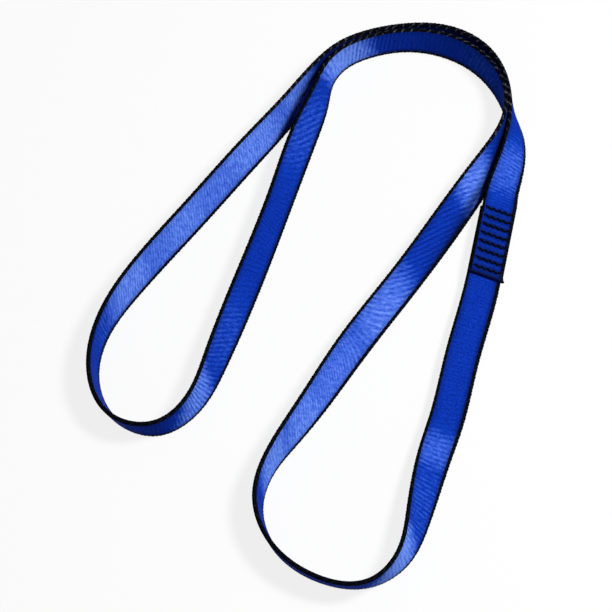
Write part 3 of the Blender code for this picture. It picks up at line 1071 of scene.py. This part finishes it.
def wovenBlue():
    board = NodeBoard("blueWovenNylon")
    pattern = wovenPattern(board)
    spot = pattern["spot"]
    over = board.ramp(pattern["over"], 0.0, 1.0, cloth["underYarn"], 1.0)
    height = board.calc("MULTIPLY", pattern["crown"], over)
    pair = board.calc("FLOOR", pattern["pair"])
    stitch = board.add("ShaderNodeCombineXYZ", X=pattern["yarn"], Y=pair).outputs[0]
    each = board.add("ShaderNodeTexWhiteNoise", {"noise_dimensions": "2D"}, Vector=stitch)
    grain = board.noise(spot, *cloth["grain"])
    patches = board.noise(spot, *cloth["patches"])
    ribs = board.wave(board.calc("DIVIDE", pattern["run"], weave["pick"]))
    broken = board.ramp(board.noise(spot, *cloth["breaks"]), *cloth["brokenLines"])
    broken = board.calc("MULTIPLY", broken, board.layer("twillShare"))
    lines = board.calc("MULTIPLY", board.wave(board.layer("twill")), broken)
    tone = board.weighted(
        (height, cloth["toneOfHeight"]),
        (each.outputs[0], cloth["toneOfYarn"]),
        (grain, cloth["toneOfGrain"]),
        (patches, cloth["toneOfPatches"]),
        (ribs, cloth["toneOfRibs"]),
        (lines, cloth["toneOfLines"]),
    )
    colour = board.blend(board.ramp(tone, *cloth["blueTone"]), cloth["deepBlue"], cloth["blue"])
    colour = board.blend(board.ramp(tone, *cloth["brightTone"]), colour, cloth["brightBlue"])
    # painted sheen: the pale stretches, broken up and blended towards the lit, pale and sheen blues
    stretched = board.add("ShaderNodeMapping", Vector=spot, Scale=cloth["mottleStretch"])
    mottle = board.noise(stretched.outputs[0], *cloth["mottle"])
    pale = board.calc("MULTIPLY", board.layer("paintedSheen"), board.ramp(mottle, *cloth["mottlePale"]))
    pale = board.calc("MULTIPLY", pale, board.ramp(lines, *cloth["linePale"]))
    pale = board.calc("MULTIPLY", pale, board.ramp(tone, *cloth["tonePale"]))
    for blue in ("lit", "pale", "sheen"):
        share = board.ramp(pale, *cloth[blue + "Pale"])
        colour = board.blend(share, colour, cloth[blue + "Blue"])
    # painted shade: along the edges, beside and between the runs, and in the joint
    colour = board.blend(board.layer("paintedShade"), colour, cloth["shadedBlue"])
    tangent = board.add("ShaderNodeTangent", {"direction_type": "UV_MAP", "uv_map": "clothMap"})
    board.feed(board.shader.inputs["Tangent"], tangent.outputs[0])
    board.shader.inputs["Anisotropic"].default_value = cloth["anisotropy"]
    board.shader.inputs["Specular Tint"].default_value = cloth["shineTint"]
    return board.finish(cloth, colour, patches, height)


border = {
    "black": (0.0018, 0.0020, 0.0040, 1.0),
    "charcoal": (0.0030, 0.0038, 0.0095, 1.0),
    # the painted glint colour on the black edges
    "fleck": (0.095, 0.095, 0.110, 1.0),
    "patches": (900.0, 2.0),  # scale and detail
    "toneOfHeight": 0.5,
    "charcoalTone": (0.4, 1.1),
    "fleckSlant": 260.0,  # turns of the cord for a metre round the edge
    "fleckWander": 0.8,
    "fleckNoise": (330.0, 1.0),
    "fleckWave": (0.55, 1.0),
    "fleckPatches": (0.40, 0.66),
    "roughness": (0.52, 0.68),
    "bump": (0.00008, 0.7),
    "shine": 0.008,
}


def wovenBlack():
    board = NodeBoard("blackSelvedge")
    pattern = wovenPattern(board)
    patches = board.noise(pattern["spot"], *border["patches"])
    height = board.calc("MULTIPLY", pattern["crown"], pattern["over"])
    tone = board.calc("ADD", board.calc("MULTIPLY", height, border["toneOfHeight"]), patches)
    share = board.ramp(tone, *border["charcoalTone"])
    colour = board.blend(share, border["black"], border["charcoal"])
    # painted glints along the cord's twist
    turns = board.weighted(
        (pattern["run"], 1.0 / selvedge["ropePitch"]),
        (pattern["around"], border["fleckSlant"]),
        (board.noise(pattern["spot"], *border["fleckNoise"]), border["fleckWander"]),
    )
    paintedGlints = board.ramp(board.wave(turns), *border["fleckWave"])
    paintedGlints = board.calc("MULTIPLY", paintedGlints, board.ramp(patches, *border["fleckPatches"]))
    paintedGlints = board.calc("MULTIPLY", paintedGlints, board.layer("paintedGlints"))
    colour = board.blend(paintedGlints, colour, border["fleck"])
    return board.finish(border, colour, patches, height)


melt = {
    "black": (0.0024, 0.0060, 0.0400, 1.0),
    "navy": (0.0036, 0.0130, 0.1200, 1.0),
    "lumps": (1500.0, 3.0),
    "navyLumps": (0.35, 0.70),
    "roughness": (0.50, 0.70),
    "bump": (0.00012, 1.0),
    "shine": 0.015,
}


def meltedBlack():
    board = NodeBoard("meltedEnd")
    spot = board.add("ShaderNodeTexCoord").outputs["Object"]
    lumps = board.noise(spot, *melt["lumps"])
    colour = board.blend(board.ramp(lumps, *melt["navyLumps"]), melt["black"], melt["navy"])
    return board.finish(melt, colour, lumps, lumps)


bondedThread = {
    "black": (0.0010, 0.0014, 0.0050, 1.0),
    "charcoal": (0.0028, 0.0036, 0.0100, 1.0),
    "fibres": (5200.0, 2.0),
    "charcoalFibres": (0.30, 0.75),
    "roughness": (0.50, 0.66),
    "bump": (0.00003, 1.0),
    "shine": 0.03,
}


def blackThread():
    board = NodeBoard("blackBondedThread")
    spot = board.add("ShaderNodeTexCoord").outputs["Object"]
    fibres = board.noise(spot, *bondedThread["fibres"])
    share = board.ramp(fibres, *bondedThread["charcoalFibres"])
    colour = board.blend(share, bondedThread["black"], bondedThread["charcoal"])
    return board.finish(bondedThread, colour, fibres, fibres)


# The floor, the light and the camera

studio = {
    "cameraPlace": (0.18866, -0.53855, 0.96680),
    "cameraAim": (-0.00221, -0.01398, 0.0),
    "lens": 150.0,
    "sensor": 36.0,
    "clip": (0.01, 50.0),
    "keyFrom": (0.51, 0.15, 0.85),
    "keyDistance": 1.1,
    "keySize": 0.28,
    "keyPower": 12.3,
    "sky": 0.16,
    "floorSize": 6.0,
    "floorColour": (0.88, 0.88, 0.88, 1.0),
    "floorBounce": (0.45, 0.45, 0.45, 1.0),
    "floorShown": 0.84,  # how much of the floor's look is plain white, the rest is its shade
}


def aimed(item, place, aim):
    item.location = place
    offset = np.array(aim) - np.array(place)
    flat = math.hypot(offset[0], offset[1])
    item.rotation_euler = (math.atan2(flat, -offset[2]), 0.0, math.atan2(-offset[0], offset[1]))


def addCamera():
    data = bpy.data.cameras.new("studioCamera")
    data.lens = studio["lens"]
    data.sensor_width = studio["sensor"]
    data.clip_start, data.clip_end = studio["clip"]
    camera = bpy.data.objects.new("studioCamera", data)
    bpy.context.collection.objects.link(camera)
    aimed(camera, studio["cameraPlace"], studio["cameraAim"])
    bpy.context.scene.camera = camera


def addLights():
    data = bpy.data.lights.new("keyLight", "AREA")
    data.shape = "DISK"
    data.size = studio["keySize"]
    data.energy = studio["keyPower"]
    key = bpy.data.objects.new("keyLight", data)
    bpy.context.collection.objects.link(key)
    place = unit(np.array(studio["keyFrom"])) * studio["keyDistance"]
    aimed(key, tuple(place), (0.0, 0.0, 0.0))
    world = bpy.data.worlds.new("studioRoom")
    world.use_nodes = True
    background = world.node_tree.nodes["Background"]
    background.inputs["Color"].default_value = (1.0, 1.0, 1.0, 1.0)
    background.inputs["Strength"].default_value = studio["sky"]
    bpy.context.scene.world = world


def floorFinish():
    # white to the camera and in reflections, apart from a share that shows the sling's shadow
    board = NodeBoard("paleFloor")
    board.nodes.remove(board.shader)
    white = board.add("ShaderNodeEmission", Color=(1.0, 1.0, 1.0, 1.0), Strength=1.0)
    rays = board.add("ShaderNodeLightPath")
    seen = board.calc("MAXIMUM", rays.outputs["Is Camera Ray"], rays.outputs["Is Glossy Ray"])
    seen = board.calc("MAXIMUM", seen, rays.outputs["Is Transmission Ray"])
    colour = board.blend(seen, studio["floorBounce"], studio["floorColour"])
    lit = board.add("ShaderNodeBsdfDiffuse", Color=colour)
    share = board.calc("MULTIPLY", seen, studio["floorShown"])
    mix = board.add("ShaderNodeMixShader", Fac=share)
    board.links.new(lit.outputs[0], mix.inputs[1])
    board.links.new(white.outputs[0], mix.inputs[2])
    board.links.new(mix.outputs[0], board.nodes["Material Output"].inputs["Surface"])
    return board.material


def addFloor():
    half = studio["floorSize"] / 2
    corners = np.array([(-half, -half, 0), (half, -half, 0), (half, half, 0), (-half, half, 0)])
    floor = addPiece("paleFloor", corners, [(0, 1, 2, 3)], (floorFinish(),))


addCamera()
addLights()
addFloor()
print("camera, light and floor placed")

webbing = weaveTape("wovenWebbing", wovenBlue(), wovenBlack(), meltedBlack())
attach(webbing, "root")
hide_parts("webbing_tape")
print(f"webbing woven: {len(webbing.data.polygons)} faces")

threadFinish = blackThread()
for i, tackU in enumerate(tackPlaces(), start=1):
    needle = spinThread(f"needleStitches{i}", needleStitch(tackU), threadFinish)
    bobbin = spinThread(f"bobbinStitches{i}", bobbinStitch(tackU), threadFinish)
    for piece, node in ((needle, f"needle_thread_{i}"), (bobbin, f"bobbin_thread_{i}")):
        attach(piece, "root")
        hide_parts(node)
print("bar tacks sewn")

bpy.context.scene.view_settings.view_transform = "Standard"
bpy.context.view_layer.update()
